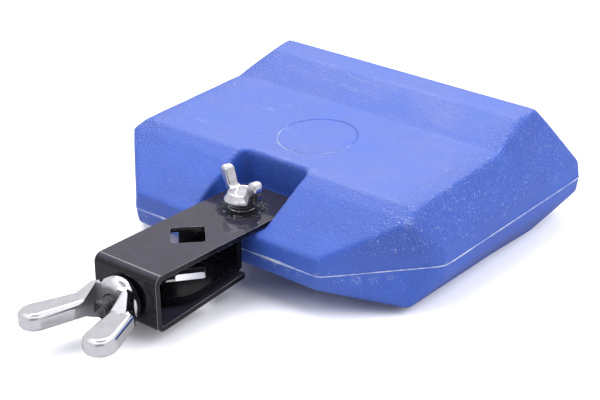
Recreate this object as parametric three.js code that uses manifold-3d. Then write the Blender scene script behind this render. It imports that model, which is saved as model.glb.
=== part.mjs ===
// Hollow plastic percussion block on a folded steel clamp bracket. Lengths in millimetres, +Z up.
// The pieces are drawn about the block's front edge (y = 0) and its parting plane (z = 0), with +Y
// away from the bracket; the exported group then moves the origin to the bottom centre of the whole.
import * as THREE from "three";
import { ConvexGeometry } from "three/addons/geometries/ConvexGeometry.js";
import { mergeVertices } from "three/addons/utils/BufferGeometryUtils.js";
import Module from "manifold-3d";

const wasm = await Module();
wasm.setup();

// Block
const DEPTH = 131; // front edge to far edge at the parting plane
const FRONT_HALF = 44.5; // half width of the front edge
const SHOULDER = { x: 74.5, y: 35.8 }; // where the front corner cut meets the end
const REAR = { x: 70, y: 128 }; // far end of the side
const FAR_HALF = 66; // half width of the far edge
const CREASE_Y = 80.1; // where the flat top turns up towards the ridge
const BAND_TOP = 6.4; // upright band round the parting plane, above
const BAND_BOTTOM = -6.1; // and below it
const TOP_Z = 32.75;
const BOTTOM_Z = -17.5;
const PARTING_GAP = 0.3; // between the two half shells
const WALL = 3.6;
const MOUTH = { half: 50, height: 7 }; // sound slot in the far face
const RING = { y: 53.8, radius: 15.2, width: 0.8, depth: 0.5, tilt: 2.9 }; // engraved on the flat top
const NOTCH = { half: 16.4, back: 30.6, radius: 4, floor: 7.2, skin: 3.2 };
const BOSS = { radius: 6.6, bore: 4.6, bottom: -2.2 };

// Bracket, jaw and clamp bolt
const STRIP = 2; // thickness of the folded strip
const STRIP_HALF = 15.05;
const PLATE = { top: 9.4, rear: 28.6, corner: 7.6 };
const FRONT_Y = -48.9; // outer face of the bracket's front plate
const BRACKET_BOTTOM = -12.1;
const FOLD = 3.2; // outer fold radius
const FOOT = { end: -4.5, slope: 0.096 }; // the bottom plate rises towards the block
const TOP_DIAMOND = { y: -17.4, side: 12.4, round: 1.4 };
const LOW_DIAMOND = { y: -17.2, side: 10.6, round: 1.4 };
const JAW_DIAMOND = { y: -19.9, side: 15, round: 1.4 };
const AXIS_Z = -2.45; // clamp bolt axis
const BOLT = { radius: 3.6, rear: -34.4, front: -61.4, hole: 4.1 };
const JAW = { half: 14.7, thick: 2.4, flange: -5.4, flangeTop: 6.9, front: -39.8, shoulder: -31.8 };

// Wing nut: its base faces the bracket and its wings lie in the bolt's horizontal plane. Between the
// wings the hub is cut back to a flat face, where the bolt comes out
const NUT = { base: -49.2, face: -56, slotHalf: 6.6, bore: 4, thick: 6.6, drop: 1, turn: -3 };
const WING = { rootX: 10.8, rootY: -62, rootR: 5, tipX: 16.2, tipY: -76.3, tipR: 6 };

// Wing bolt that holds the bracket in the notch
const SCREW = { y: 11.2, radius: 2.95, bottom: -1, hole: 3.4, turn: -16 };
const FLAT_WASHER = { radius: 5.3, low: 9.6, high: 10.4 };
const LOCK_WASHER = { radius: 4.7, low: 10.6, high: 11.4 };
const HEAD = { low: 11.6, top: 16.2, radius: 6.9, earThick: 4 };

const ROUND = 40; // sides of a round piece
const deg = THREE.MathUtils.degToRad;

// A geometry as a manifold solid, and back again as a named mesh.
function solid(geometry) {
  const bare = geometry.clone();
  bare.deleteAttribute("normal");
  bare.deleteAttribute("uv");
  const merged = mergeVertices(bare, 1e-4);
  return new wasm.Manifold(
    new wasm.Mesh({
      numProp: 3,
      vertProperties: merged.attributes.position.array,
      triVerts: new Uint32Array(merged.index.array),
    }),
  );
}

function mesh(name, body, material) {
  const made = body.getMesh();
  const geometry = new THREE.BufferGeometry();
  geometry.setAttribute("position", new THREE.BufferAttribute(made.vertProperties, 3));
  geometry.setIndex(new THREE.BufferAttribute(made.triVerts, 1));
  geometry.computeVertexNormals();
  const result = new THREE.Mesh(geometry, material);
  result.name = name;
  return result;
}

// Basic solids: an upright prism, a sheet-metal profile drawn in Y and Z, a turned piece about Z.
function prism(shape, low, high) {
  const geometry = new THREE.ExtrudeGeometry(shape, {
    depth: high - low,
    bevelEnabled: false,
    curveSegments: 8,
  });
  return solid(geometry.translate(0, 0, low));
}

function sideProfile(shape, half) {
  const geometry = new THREE.ExtrudeGeometry(shape, {
    depth: 2 * half,
    bevelEnabled: false,
    curveSegments: 6,
  });
  const toSide = new THREE.Matrix4().makeBasis(
    new THREE.Vector3(0, 1, 0),
    new THREE.Vector3(0, 0, 1),
    new THREE.Vector3(1, 0, 0),
  );
  return solid(geometry.applyMatrix4(toSide).translate(-half, 0, 0));
}

function turned(profile, sides = ROUND) {
  const points = profile.map(([radius, height]) => new THREE.Vector2(radius, height));
  return solid(new THREE.LatheGeometry(points, sides).rotateX(Math.PI / 2));
}

function cylinder(radius, low, high, sides = ROUND) {
  return turned([[0, low], [radius, low], [radius, high], [0, high]], sides);
}

function washer(outer, inner, low, high) {
  return turned([[inner, low], [outer, low], [outer, high], [inner, high], [inner, low]]);
}

// Turns an upright piece over to lie along -Y, its height becoming the distance from the block.
function layAlongBolt(body) {
  return body.rotate([90, 0, 0]).translate([0, 0, AXIS_Z]);
}

function box(low, high) {
  const size = high.map((value, i) => value - low[i]);
  const middle = high.map((value, i) => (value + low[i]) / 2);
  return solid(new THREE.BoxGeometry(...size).translate(...middle));
}

// Upright walls through corner points with rounded corners; each corner is [x, y, radius].
function roundedShape(corners) {
  const shape = new THREE.Shape();
  corners.forEach(([x, y, radius], i) => {
    const here = new THREE.Vector2(x, y);
    const before = new THREE.Vector2(...corners.at(i - 1));
    const after = new THREE.Vector2(...corners[(i + 1) % corners.length]);
    const start = here.clone().lerp(before, radius / here.distanceTo(before));
    const end = here.clone().lerp(after, radius / here.distanceTo(after));
    if (i === 0) shape.moveTo(start.x, start.y);
    else shape.lineTo(start.x, start.y);
    if (radius > 0) shape.quadraticCurveTo(x, y, end.x, end.y);
  });
  shape.closePath();
  return shape;
}

// The block's outside is two convex lumps that meet at the crease, each given by the corners of its
// right half. With a wall thickness every corner moves inwards, and the open side reaches past z = 0.
function lump(corners, wall) {
  const points = corners.flatMap(([x, y, z]) => {
    const open = Math.abs(z) < 1;
    const inX = x - wall * 1.1;
    const inY = y === CREASE_Y ? y : y + wall * Math.sign(DEPTH / 2 - y);
    const inZ = open ? z - wall * Math.sign(z) : z - wall * 0.9 * Math.sign(z);
    return [
      new THREE.Vector3(inX, inY, inZ),
      new THREE.Vector3(-inX, inY, inZ),
    ];
  });
  return solid(new ConvexGeometry(points));
}

function plan(z, draft) {
  const creaseX = THREE.MathUtils.mapLinear(CREASE_Y, SHOULDER.y, REAR.y, SHOULDER.x, REAR.x);
  const front = [[FRONT_HALF - draft / 2, draft, z], [SHOULDER.x - draft, SHOULDER.y, z]];
  const side = [[creaseX - draft, CREASE_Y, z]];
  const rear = [[REAR.x - draft, REAR.y, z], [FAR_HALF - draft, DEPTH - draft, z]];
  return { front: [...front, ...side], rear: [...side, ...rear] };
}

function upperHalf(wall = 0) {
  const rim = plan(PARTING_GAP / 2, 0);
  const band = plan(BAND_TOP, 0.6);
  const cornerCut = [67.3, 23.4, 19];
  const flatFront = [65.6, 29.1, 22.1];
  const flatRear = [64.6, CREASE_Y, 24.65];
  const ridge = [[60.1, 97.8, 31.95], [61.8, 108.4, TOP_Z]];
  const front = lump([...rim.front, ...band.front, cornerCut, flatFront, flatRear], wall);
  const rear = lump([...rim.rear, ...band.rear, flatRear, ...ridge], wall);
  return front.add(rear);
}

function lowerHalf(wall = 0) {
  const rim = plan(-PARTING_GAP / 2, 0);
  const band = plan(BAND_BOTTOM, 0.8);
  const cornerCut = [67.5, 22.8, -14.5];
  const sole = [[62.3, 31, BOTTOM_Z], [62.3, CREASE_Y, BOTTOM_Z]];
  const heel = [62.3, 107, BOTTOM_Z];
  const front = lump([...rim.front, ...band.front, cornerCut, ...sole], wall);
  const rear = lump([...rim.rear, ...band.rear, sole[1], heel], wall);
  return front.add(rear);
}

function notchShape(grow) {
  const half = NOTCH.half + grow;
  const back = NOTCH.back + grow;
  const radius = NOTCH.radius + grow;
  return roundedShape([[-half, -5, 0], [half, -5, 0], [half, back, radius], [-half, back, radius]]);
}

function mouth() {
  const inside = DEPTH - 15;
  const half = MOUTH.height / 2;
  return box([-MOUTH.half, inside, -half], [MOUTH.half, DEPTH + 5, half]);
}

function engravedRing() {
  const { radius, width, depth, tilt, y } = RING;
  const middle = THREE.MathUtils.mapLinear(y, 29.1, CREASE_Y, 22.1, 24.65);
  const groove = washer(radius + width / 2, radius - width / 2, -depth, depth);
  return groove.rotate([tilt, 0, 0]).translate([0, y, middle]);
}

function upperShell() {
  const notchWalls = prism(notchShape(NOTCH.skin), NOTCH.floor - NOTCH.skin, TOP_Z);
  const boss = cylinder(BOSS.radius, BOSS.bottom, NOTCH.floor - 1).translate([0, SCREW.y, 0]);
  const bore = cylinder(BOSS.bore, BOSS.bottom - 1, TOP_Z).translate([0, SCREW.y, 0]);
  const hollow = upperHalf(WALL).subtract(notchWalls).subtract(boss);
  const shell = upperHalf().subtract(hollow).subtract(prism(notchShape(0), NOTCH.floor, TOP_Z));
  return shell.add(boss).subtract(bore).subtract(mouth()).subtract(engravedRing());
}

function lowerShell() {
  return lowerHalf().subtract(lowerHalf(WALL)).subtract(mouth());
}

function threadedInsert() {
  return washer(BOSS.bore - 0.3, SCREW.radius + 0.35, BOSS.bottom + 0.4, NOTCH.floor - 0.3)
    .translate([0, SCREW.y, 0]);
}

function bracketProfile() {
  const { top, rear } = PLATE;
  const inner = FOLD - STRIP;
  const foldY = FRONT_Y + FOLD;
  const lowFold = BRACKET_BOTTOM + FOLD;
  const footZ = BRACKET_BOTTOM + FOOT.slope * (FOOT.end - foldY);
  const shape = new THREE.Shape();
  shape.moveTo(rear, top);
  shape.lineTo(foldY, top);
  shape.absarc(foldY, top - FOLD, FOLD, Math.PI / 2, Math.PI, false);
  shape.absarc(foldY, lowFold, FOLD, Math.PI, Math.PI * 1.5, false);
  shape.lineTo(FOOT.end, footZ);
  shape.lineTo(FOOT.end, footZ + STRIP);
  shape.absarc(foldY, lowFold, inner, Math.PI * 1.5, Math.PI, true);
  shape.absarc(foldY, top - FOLD, inner, Math.PI, Math.PI / 2, true);
  shape.lineTo(rear, top - STRIP);
  shape.closePath();
  return shape;
}

function diamond({ y, side, round }, low, high) {
  const reach = side / Math.SQRT2;
  const corners = [[reach, y, round], [0, y + reach, round], [-reach, y, round], [0, y - reach, round]];
  return prism(roundedShape(corners), low, high);
}

function mountingBracket() {
  const { rear, corner, top } = PLATE;
  const half = STRIP_HALF;
  const outline = roundedShape([
    [-half, FRONT_Y - 1, 0],
    [half, FRONT_Y - 1, 0],
    [half, rear, corner],
    [-half, rear, corner],
  ]);
  const strip = sideProfile(bracketProfile(), half + 1);
  const screwHole = cylinder(SCREW.hole, top - STRIP - 1, top + 1).translate([0, SCREW.y, 0]);
  const boltHole = layAlongBolt(cylinder(BOLT.hole, -FRONT_Y - STRIP - 2, -FRONT_Y + 1));
  return strip
    .intersect(prism(outline, BRACKET_BOTTOM - 1, top + 1))
    .subtract(diamond(TOP_DIAMOND, 0, top + 1))
    .subtract(diamond(LOW_DIAMOND, BRACKET_BOTTOM - 1, 0))
    .subtract(screwHole)
    .subtract(boltHole);
}

// A flat plate tilted like the bracket's bottom plate, its rear edge folded up behind the diamond.
function jawProfile() {
  const { thick, flange, flangeTop, front } = JAW;
  const inner = flange - thick;
  const level = (y) => -2.1 + FOOT.slope * (y - inner);
  const shape = new THREE.Shape();
  shape.moveTo(front, level(front));
  shape.lineTo(front, level(front) - thick);
  shape.lineTo(inner - 0.6, level(inner) - thick);
  shape.quadraticCurveTo(flange, level(inner) - thick, flange, level(inner));
  shape.lineTo(flange, flangeTop);
  shape.lineTo(inner, flangeTop);
  shape.lineTo(inner, level(inner) + 0.8);
  shape.quadraticCurveTo(inner, level(inner), inner - 0.8, level(inner));
  shape.closePath();
  return shape;
}

function clampJaw() {
  const { half, front, shoulder, flange } = JAW;
  const nose = half - (shoulder - front);
  const outline = roundedShape([
    [-nose, front, 2],
    [nose, front, 2],
    [half, shoulder, 4.5],
    [half, flange + 1, 0],
    [-half, flange + 1, 0],
    [-half, shoulder, 4.5],
  ]);
  const slot = BOLT.radius + 0.3;
  return sideProfile(jawProfile(), half)
    .intersect(prism(outline, BRACKET_BOTTOM, PLATE.top))
    .subtract(diamond(JAW_DIAMOND, BRACKET_BOTTOM, -1))
    .subtract(box([-slot, front - 1, BRACKET_BOTTOM], [slot, BOLT.rear + 0.5, 3]));
}

function clampBolt() {
  const { radius, rear, front } = BOLT;
  const bevel = 0.8;
  return layAlongBolt(turned([
    [0, -rear],
    [radius, -rear],
    [radius, -front - bevel],
    [radius - bevel, -front],
    [0, -front],
  ]));
}

// A wing's outline is two circles, at its root and its tip, joined by their common tangents.
function wing(side) {
  const circle = (x, y, radius) => Array.from({ length: 20 }, (_, i) => {
    const angle = (i / 20) * 2 * Math.PI;
    return [side * x + radius * Math.cos(angle), y + radius * Math.sin(angle)];
  });
  const rim = [
    ...circle(WING.rootX, WING.rootY, WING.rootR),
    ...circle(WING.tipX, WING.tipY, WING.tipR),
  ];
  const inset = 0.82;
  const half = NUT.thick / 2;
  const level = AXIS_Z - NUT.drop;
  const middle = { x: side * (WING.rootX + WING.tipX) / 2, y: (WING.rootY + WING.tipY) / 2 };
  const points = rim.flatMap(([x, y]) => {
    const inX = middle.x + (x - middle.x) * inset;
    const inY = middle.y + (y - middle.y) * (1 - (1 - inset) / 2);
    return [
      new THREE.Vector3(x, y, level + half / 2),
      new THREE.Vector3(x, y, level - half / 2),
      new THREE.Vector3(inX, inY, level + half),
      new THREE.Vector3(inX, inY, level - half),
    ];
  });
  return solid(new ConvexGeometry(points));
}

// Each wing thickens towards the hub: [across, along, up] on the fairing's upper and lower side.
function fairing(side) {
  const level = AXIS_Z - NUT.drop;
  const points = [1, -1].flatMap((up) => [
    [2, -51, AXIS_Z + up * 7.4],
    [7.6, -51, AXIS_Z + up * 4.6],
    [4, NUT.face, AXIS_Z + up * 6.6],
    [9.6, NUT.face, AXIS_Z + up * 5.6],
    [5, -63, level + up * 2.6],
    [13.6, -62, level + up * 2.6],
  ]);
  return solid(new ConvexGeometry(points.map(([x, y, z]) => new THREE.Vector3(side * x, y, z))));
}

function wingNut() {
  const bell = [[0, 0], [7.8, 0], [8.9, 1.2], [9.2, 2.6], [9, 4.2], [8, 5.6], [6.4, 6.8], [0, 7.2]];
  const hub = layAlongBolt(turned(bell.map(([radius, along]) => [radius, along - NUT.base])));
  const front = WING.tipY;
  const slot = roundedShape([
    [-NUT.slotHalf, NUT.face, 0],
    [-NUT.slotHalf, front, 0],
    [NUT.slotHalf, front, 0],
    [NUT.slotHalf, NUT.face, 0],
  ]);
  const bore = layAlongBolt(cylinder(NUT.bore, -NUT.base - 1, -NUT.base + 30));
  return hub
    .add(fairing(1))
    .add(fairing(-1))
    .add(wing(1))
    .add(wing(-1))
    .subtract(prism(slot, AXIS_Z - 15, AXIS_Z + 15))
    .subtract(bore)
    .translate([0, 0, -AXIS_Z])
    .rotate([0, NUT.turn, 0])
    .translate([0, 0, AXIS_Z]);
}

// One ear of the wing bolt: a plate drawn in the plane of its axis, rising outwards from the head.
function ear() {
  const { low, top, earThick } = HEAD;
  const shape = roundedShape([
    [-1.5, low + 0.4, 0],
    [6.6, low + 0.6, 1],
    [8.8, low + 4.4, 1.5],
    [12.2, low + 9.8, 1.5],
    [9, low + 11.5, 1.5],
    [4, top - 0.4, 0],
    [-1.5, top - 0.4, 0],
  ]);
  const geometry = new THREE.ExtrudeGeometry(shape, {
    depth: earThick,
    bevelEnabled: false,
    curveSegments: 4,
  });
  return solid(geometry.translate(0, 0, -earThick / 2).rotateX(Math.PI / 2));
}

function wingBolt() {
  const { low, top, radius } = HEAD;
  const tip = SCREW.radius - 0.6;
  const head = turned([
    [0, SCREW.bottom],
    [tip, SCREW.bottom],
    [SCREW.radius, SCREW.bottom + 0.6],
    [SCREW.radius, low],
    [5, low],
    [radius, low + 0.9],
    [radius - 0.3, low + 2.2],
    [4.9, top - 0.3],
    [4.2, top],
    [0, top],
  ]);
  return head
    .add(ear())
    .add(ear().rotate([0, 0, 180]))
    .rotate([0, 0, SCREW.turn])
    .translate([0, SCREW.y, 0]);
}

const bluePlastic = new THREE.MeshStandardMaterial({ color: 0x3d55d8, roughness: 0.55 });
const blackPaint = new THREE.MeshStandardMaterial({ color: 0x0c0c10, roughness: 0.3 });
const darkSteel = new THREE.MeshStandardMaterial({ color: 0x3a3a3c, roughness: 0.4, metalness: 0.9 });
const chrome = new THREE.MeshStandardMaterial({ color: 0xd8d8de, roughness: 0.12, metalness: 1 });
const zinc = new THREE.MeshStandardMaterial({ color: 0xb4b6ba, roughness: 0.35, metalness: 1 });
const brass = new THREE.MeshStandardMaterial({ color: 0xb08a3c, roughness: 0.35, metalness: 1 });

const screwWasher = ({ radius, low, high }) =>
  washer(radius, SCREW.radius + 0.35, low, high).translate([0, SCREW.y, 0]);

const part = new THREE.Group();
part.add(
  mesh("upper_shell", upperShell(), bluePlastic),
  mesh("lower_shell", lowerShell(), bluePlastic),
  mesh("threaded_insert", threadedInsert(), brass),
  mesh("mounting_bracket", mountingBracket(), blackPaint),
  mesh("clamp_jaw", clampJaw(), blackPaint),
  mesh("clamp_bolt", clampBolt(), darkSteel),
  mesh("wing_nut", wingNut(), chrome),
  mesh("flat_washer", screwWasher(FLAT_WASHER), zinc),
  mesh("lock_washer", screwWasher(LOCK_WASHER), zinc),
  mesh("wing_bolt", wingBolt(), chrome),
);
part.position.set(0, -(DEPTH + WING.tipY - WING.tipR) / 2, -BOTTOM_Z);

export default part;
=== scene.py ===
"""Looks of the percussion block on its clamp bracket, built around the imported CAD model.

Lengths in the drawing functions are millimetres about the block's front edge (y = 0) and its
parting plane (z = 0), as a workshop drawing would give them; place() turns them into the frame.
"""

import math

import bmesh
import bpy
import numpy as np
from mathutils import Matrix, Quaternion, Vector, noise


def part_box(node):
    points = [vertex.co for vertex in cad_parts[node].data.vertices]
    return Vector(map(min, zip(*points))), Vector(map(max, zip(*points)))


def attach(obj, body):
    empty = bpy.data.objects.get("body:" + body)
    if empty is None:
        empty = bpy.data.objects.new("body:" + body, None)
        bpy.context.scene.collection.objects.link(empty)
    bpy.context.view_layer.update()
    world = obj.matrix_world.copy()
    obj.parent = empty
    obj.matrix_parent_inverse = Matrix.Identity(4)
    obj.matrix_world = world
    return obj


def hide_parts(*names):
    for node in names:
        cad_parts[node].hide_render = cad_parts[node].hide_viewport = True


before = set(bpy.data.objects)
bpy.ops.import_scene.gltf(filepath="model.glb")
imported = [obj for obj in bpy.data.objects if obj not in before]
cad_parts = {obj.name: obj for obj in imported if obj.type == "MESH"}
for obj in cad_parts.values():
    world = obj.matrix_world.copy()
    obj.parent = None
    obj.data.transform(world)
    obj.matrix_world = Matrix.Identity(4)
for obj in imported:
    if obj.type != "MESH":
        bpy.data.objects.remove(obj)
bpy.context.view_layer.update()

MM = 0.001
GAP = 0.15  # half of the gap at the parting line
FRONT_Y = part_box("upper_shell")[0].y
SEAM_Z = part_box("lower_shell")[1].z + GAP * MM

# Block: half widths, corners as (x, y) or (x, y, z), and heights
DEPTH = (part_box("upper_shell")[1].y - FRONT_Y) / MM
FRONT_HALF = 44.5
SHOULDER = (74.5, 35.8)
REAR = (70.0, 128.0)
FAR_HALF = 66.0
CREASE_Y = 80.1
BAND_TOP = 6.4
BAND_BOTTOM = -6.1
UPPER_DRAFT = 0.6  # how far the side band leans in
LOWER_DRAFT = 0.8
OVERLAP = 4.0  # each half is first drawn this far past the parting plane
TOP_Z = (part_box("upper_shell")[1].z - SEAM_Z) / MM
BOTTOM_Z = -SEAM_Z / MM
CORNER_CUT = (67.9, 22.9, 19.4)
FLAT_FRONT = (65.9, 29.0, 22.2)
FLAT_REAR = (64.6, CREASE_Y, 24.65)
RIDGE_FRONT = (60.1, 97.8, 31.95)
RIDGE_REAR = (61.8, 108.4, TOP_Z)
LOW_CUT = (67.5, 22.8, -14.5)
SOLE_X = 62.3
SOLE_FRONT = 31.0
HEEL = 107.0
WALL = 3.6
SIDE_SHARE = 1.1  # wall at the sides and at the top, as shares of WALL
TOP_SHARE = 0.9
TOP_LEVEL = 17  # every vertex above this height is on the block's top
TOP_TILT = 2.9  # degrees
RING = {"y": 53.8, "radius": 15.2, "half": 0.36, "depth": 0.26, "lip": 0.09, "refined": 3.2}
NOTCH = {"half": 16.4, "back": 30.6, "corner": 4.0, "floor": 7.2, "ahead": 8, "wall": 3.2}
MOUTH = {"half": 50.0, "height": 7.0, "inward": 15, "outward": 5, "past": 9}
BOSS = (6.6, -5, 8)  # radius, lower and upper end of the boss that holds the insert
BORE = (4.7, -8, 12)  # and of the cutter of its bore
ABOVE = 3  # how far the notch's cutters reach above the block
VOXEL = 0.85
ROUNDS = 3  # of smoothing, which set how soft the moulded edges are
FULL_WEAR = 0.30  # rounding, in mm, that counts as fully worn
SAG = 0.055  # unevenness of the moulded faces
FLASH = {"root": 0.5, "proud": 0.30, "thick": 0.28}
BESIDE = {"y": 4, "x": 34, "fade": 10}  # the flash is thicker beside the bracket

# Hardware
PAST = 1  # how far a cutter reaches past the sheet it cuts
STRIP = 2.0
STRIP_HALF = 15.05
PLATE = {"top": 9.4, "rear": 28.6, "corner": 7.6}
BRACKET_FRONT = -48.9
BRACKET_BOTTOM = -12.1
FOLD = 3.2
FOOT = {"end": -4.5, "slope": 0.096}
TOP_DIAMOND = (-17.4, 12.4)  # y of its middle, side
LOW_DIAMOND = (-17.2, 10.6)
JAW_DIAMOND = (-19.9, 15.0)
DIAMOND_CORNER = 1.4
JAW = {"half": 14.7, "thick": 2.4, "flange": -5.4, "top": 6.9, "front": -39.8, "shoulder": -31.8}
JAW_LEVEL = -2.1  # top of the jaw's plate at its rear bend
JAW_CORNER = {"nose": 2, "shoulder": 4.5, "outer_bend": 2.4, "inner_bend": 0.9}
JAW_SLOT = {"play": 0.25, "past_stud": 0.4, "top": 3}
AXIS_Z = -2.45
BOLT_SPOT = (0, 0, AXIS_Z)
BOLT = {"radius": 3.6, "rear": -34.4, "front": -61.4, "hole": 4.1, "pitch": 1.25, "thread": 0.62}
NUT = {"base": -49.2, "face": -56.0, "slot": 6.6, "bore": 4.0, "half": 3.3, "drop": 1.0, "turn": -3.0}
WING_ROOT = (10.8, -62.0, 5.0)  # x, y, radius
WING_TIP = (16.2, -76.3, 6.0)
WING_EDGE = 2.1
CUTTER = 15  # half height of the cutter of the nut's slot
SCREW = {"radius": 2.95, "bottom": -1.0, "hole": 3.4, "turn": -16.0, "pitch": 1.0, "thread": 0.5}
SCREW_SPOT = (0, 11.2, 0)
INTO_HEAD = 0.3  # how far the shank reaches into the head
FLAT_WASHER = (3.3, 5.3, PLATE["top"] + 0.02, PLATE["top"] + 1.0)  # radii and faces
LOCK_WASHER = (3.2, 4.7, PLATE["top"] + 1.15, PLATE["top"] + 2.0)
LOCK_RISE = 0.16
WASHER_EDGE = 0.18
HEAD = {"low": 11.6, "top": 16.2, "radius": 6.8, "ear": 2.15, "edge": 1.25}
EDGES = {"bracket": 0.38, "jaw": 0.35, "nut": 0.4, "head": 0.25}  # how far edges are rounded
HIGHLIGHT_RIM = {"width": 0.3, "least": 0.15, "most": 0.97}  # a rim that gets a painted highlight: its width and how far it faces sideways
THREAD_VALLEY = 0.42  # half width of a thread's valley, as a share of its pitch
THREAD_START = (0.25, 0.4)  # the thread deepens over this length, from this share of its depth
ROD_TIP = 0.02  # radius that closes a rod's end


def place(x, y, z):
    return Vector((x * MM, FRONT_Y + y * MM, SEAM_Z + z * MM))


# ---------------------------------------------------------------- mesh helpers
def linked(name, data):
    made = bpy.data.objects.new(name, data)
    bpy.context.scene.collection.objects.link(made)
    return made


def new_object(name, bm, material=None):
    data = bpy.data.meshes.new(name)
    bm.normal_update()
    bm.to_mesh(data)
    bm.free()
    made = linked(name, data)
    if material:
        data.materials.append(material)
    return made


def hull(name, points):
    bm = bmesh.new()
    for point in points:
        bm.verts.new(place(*point))
    found = bmesh.ops.convex_hull(bm, input=bm.verts)
    inside = set(found["geom_interior"]) | set(found["geom_unused"])
    inside = [g for g in inside if isinstance(g, bmesh.types.BMVert)]
    bmesh.ops.delete(bm, geom=inside, context="VERTS")
    bmesh.ops.dissolve_limit(bm, angle_limit=math.radians(0.5), verts=bm.verts, edges=bm.edges)
    bmesh.ops.recalc_face_normals(bm, faces=bm.faces)
    return new_object(name, bm)


def loft(name, loops):
    """Skin through loops of equally many drawing points, with both ends closed."""
    count = len(loops[0])
    last = (len(loops) - 1) * count
    faces = []
    for a in range(0, last, count):
        for i in range(count):
            onward = (i + 1) % count
            faces.append((a + i, a + onward, a + count + onward, a + count + i))
    bm = bmesh.new()
    verts = [bm.verts.new(place(*point)) for loop in loops for point in loop]
    for face in (*faces, range(count), range(last, last + count)):
        bm.faces.new([verts[i] for i in face])
    bmesh.ops.recalc_face_normals(bm, faces=bm.faces)
    return new_object(name, bm)


def prism(name, outline, low, high):
    return loft(name, [[(x, y, low) for x, y in outline], [(x, y, high) for x, y in outline]])


def side_profile(name, outline, half):
    """Sheet-metal profile drawn in Y and Z, as wide as 2 half."""
    return loft(name, [[(-half, y, z) for y, z in outline], [(half, y, z) for y, z in outline]])


def circle(radii, along, centre, axis):
    """Section of a turned piece: points about an upright axis or, with axis Y, the clamp bolt's."""
    points = []
    for i, radius in enumerate(radii):
        a = 2 * math.pi * i / len(radii)
        u, v = radius * math.cos(a), radius * math.sin(a)
        if axis == "Z":
            points.append((centre[0] + u, centre[1] + v, along))
        else:
            points.append((centre[0] + u, along, centre[2] + v))
    return points


def turned(name, profile, centre, axis="Z", sides=72):
    """Solid turned from a profile of radius and place along the axis."""
    return loft(name, [circle([max(r, 1e-4)] * sides, along, centre, axis) for r, along in profile])


def rod(name, radius, low, high, centre, axis="Z", sides=72):
    return turned(name, [(radius, low), (radius, high)], centre, axis, sides)


def block_box(name, low, high):
    corners = [(low[0], low[1]), (high[0], low[1]), (high[0], high[1]), (low[0], high[1])]
    return prism(name, corners, low[2], high[2])


def rounded(corners, steps=7):
    """Closed outline with rounded corners; each corner is (x, y, how far the rounding reaches)."""
    outline = []
    for i, (x, y, reach) in enumerate(corners):
        here = Vector((x, y))
        if reach <= 0:
            outline.append((x, y))
            continue
        before = Vector(corners[i - 1][:2])
        after = Vector(corners[(i + 1) % len(corners)][:2])
        start = here.lerp(before, reach / (here - before).length)
        end = here.lerp(after, reach / (here - after).length)
        for k in range(steps + 1):
            t = k / steps
            p = start * (1 - t) ** 2 + here * 2 * t * (1 - t) + end * t * t
            outline.append((p.x, p.y))
    return outline


def arc(centre, radius, start, end, steps=14):
    """Points on an arc, angles in degrees."""
    angles = [math.radians(start + (end - start) * k / steps) for k in range(steps + 1)]
    return [(centre[0] + radius * math.cos(a), centre[1] + radius * math.sin(a)) for a in angles]


def baked(target):
    """Applies every modifier of an object."""
    graph = bpy.context.evaluated_depsgraph_get()
    data = bpy.data.meshes.new_from_object(target.evaluated_get(graph))
    old = target.data
    target.modifiers.clear()
    target.data = data
    bpy.data.meshes.remove(old)
    return target


def combine(target, other, operation):
    cut = target.modifiers.new("cut", "BOOLEAN")
    cut.operation = operation
    cut.solver = "EXACT"
    cut.object = other
    baked(target)
    bpy.data.objects.remove(other)
    return target


def carve(target, *cutters):
    for cutter in cutters:
        combine(target, cutter, "DIFFERENCE")
    return target


def opened(target):
    bm = bmesh.new()
    bm.from_mesh(target.data)
    return bm


def stored(bm, target):
    bm.to_mesh(target.data)
    bm.free()
    return target


def tidy_mesh(target):
    """Merges doubled points and flat neighbouring faces."""
    bm = opened(target)
    bmesh.ops.remove_doubles(bm, verts=bm.verts, dist=1e-6)
    bmesh.ops.dissolve_limit(bm, angle_limit=math.radians(0.5), verts=bm.verts, edges=bm.edges)
    return stored(bm, target)


def soften(target, width, limit=40, segments=3):
    """Rounds the edges sharper than the limit."""
    tidy_mesh(target)
    edge = target.modifiers.new("edge", "BEVEL")
    edge.width = width * MM
    edge.segments = segments
    edge.limit_method = "ANGLE"
    edge.angle_limit = math.radians(limit)
    edge.use_clamp_overlap = True
    return baked(target)


def mark_highlight_rims(target):
    """Marks the narrow rounded faces along the strip's two long sides, for the painted highlight along
    them.
    """
    bm = opened(target)
    layer = bm.faces.layers.float.new("painted_highlight_line")
    for face in bm.faces:
        longest = max(edge.calc_length() for edge in face.edges)
        narrow = face.calc_area() / longest < HIGHLIGHT_RIM["width"] * MM
        sideways = HIGHLIGHT_RIM["least"] < abs(face.normal.x) < HIGHLIGHT_RIM["most"]
        face[layer] = 1.0 if narrow and sideways else 0.0
    return stored(bm, target)


def smooth_shade(target, angle=32):
    for face in target.data.polygons:
        face.use_smooth = True
    target.data.set_sharp_from_angle(angle=math.radians(angle))
    return target


def weighted(target):
    target.modifiers.new("normals", "WEIGHTED_NORMAL").keep_sharp = True
    return target


def finish_piece(piece, body, slot, material, *nodes):
    piece.data.materials.clear()
    piece.data.materials.append(material)
    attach(piece, body)
    if nodes:
        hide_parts(*nodes)
    return piece


# ---------------------------------------------------------------- block
def plan(z, draft):
    """Corners of the block's outline at one height, for its front and its rear lump."""
    share = (CREASE_Y - SHOULDER[1]) / (REAR[1] - SHOULDER[1])
    crease_x = SHOULDER[0] + share * (REAR[0] - SHOULDER[0])
    front = [(FRONT_HALF - draft / 2, draft, z), (SHOULDER[0] - draft, SHOULDER[1], z)]
    side = [(crease_x - draft, CREASE_Y, z)]
    rear = [(REAR[0] - draft, REAR[1], z), (FAR_HALF - draft, DEPTH - draft, z)]
    return front + side, side + rear


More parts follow.
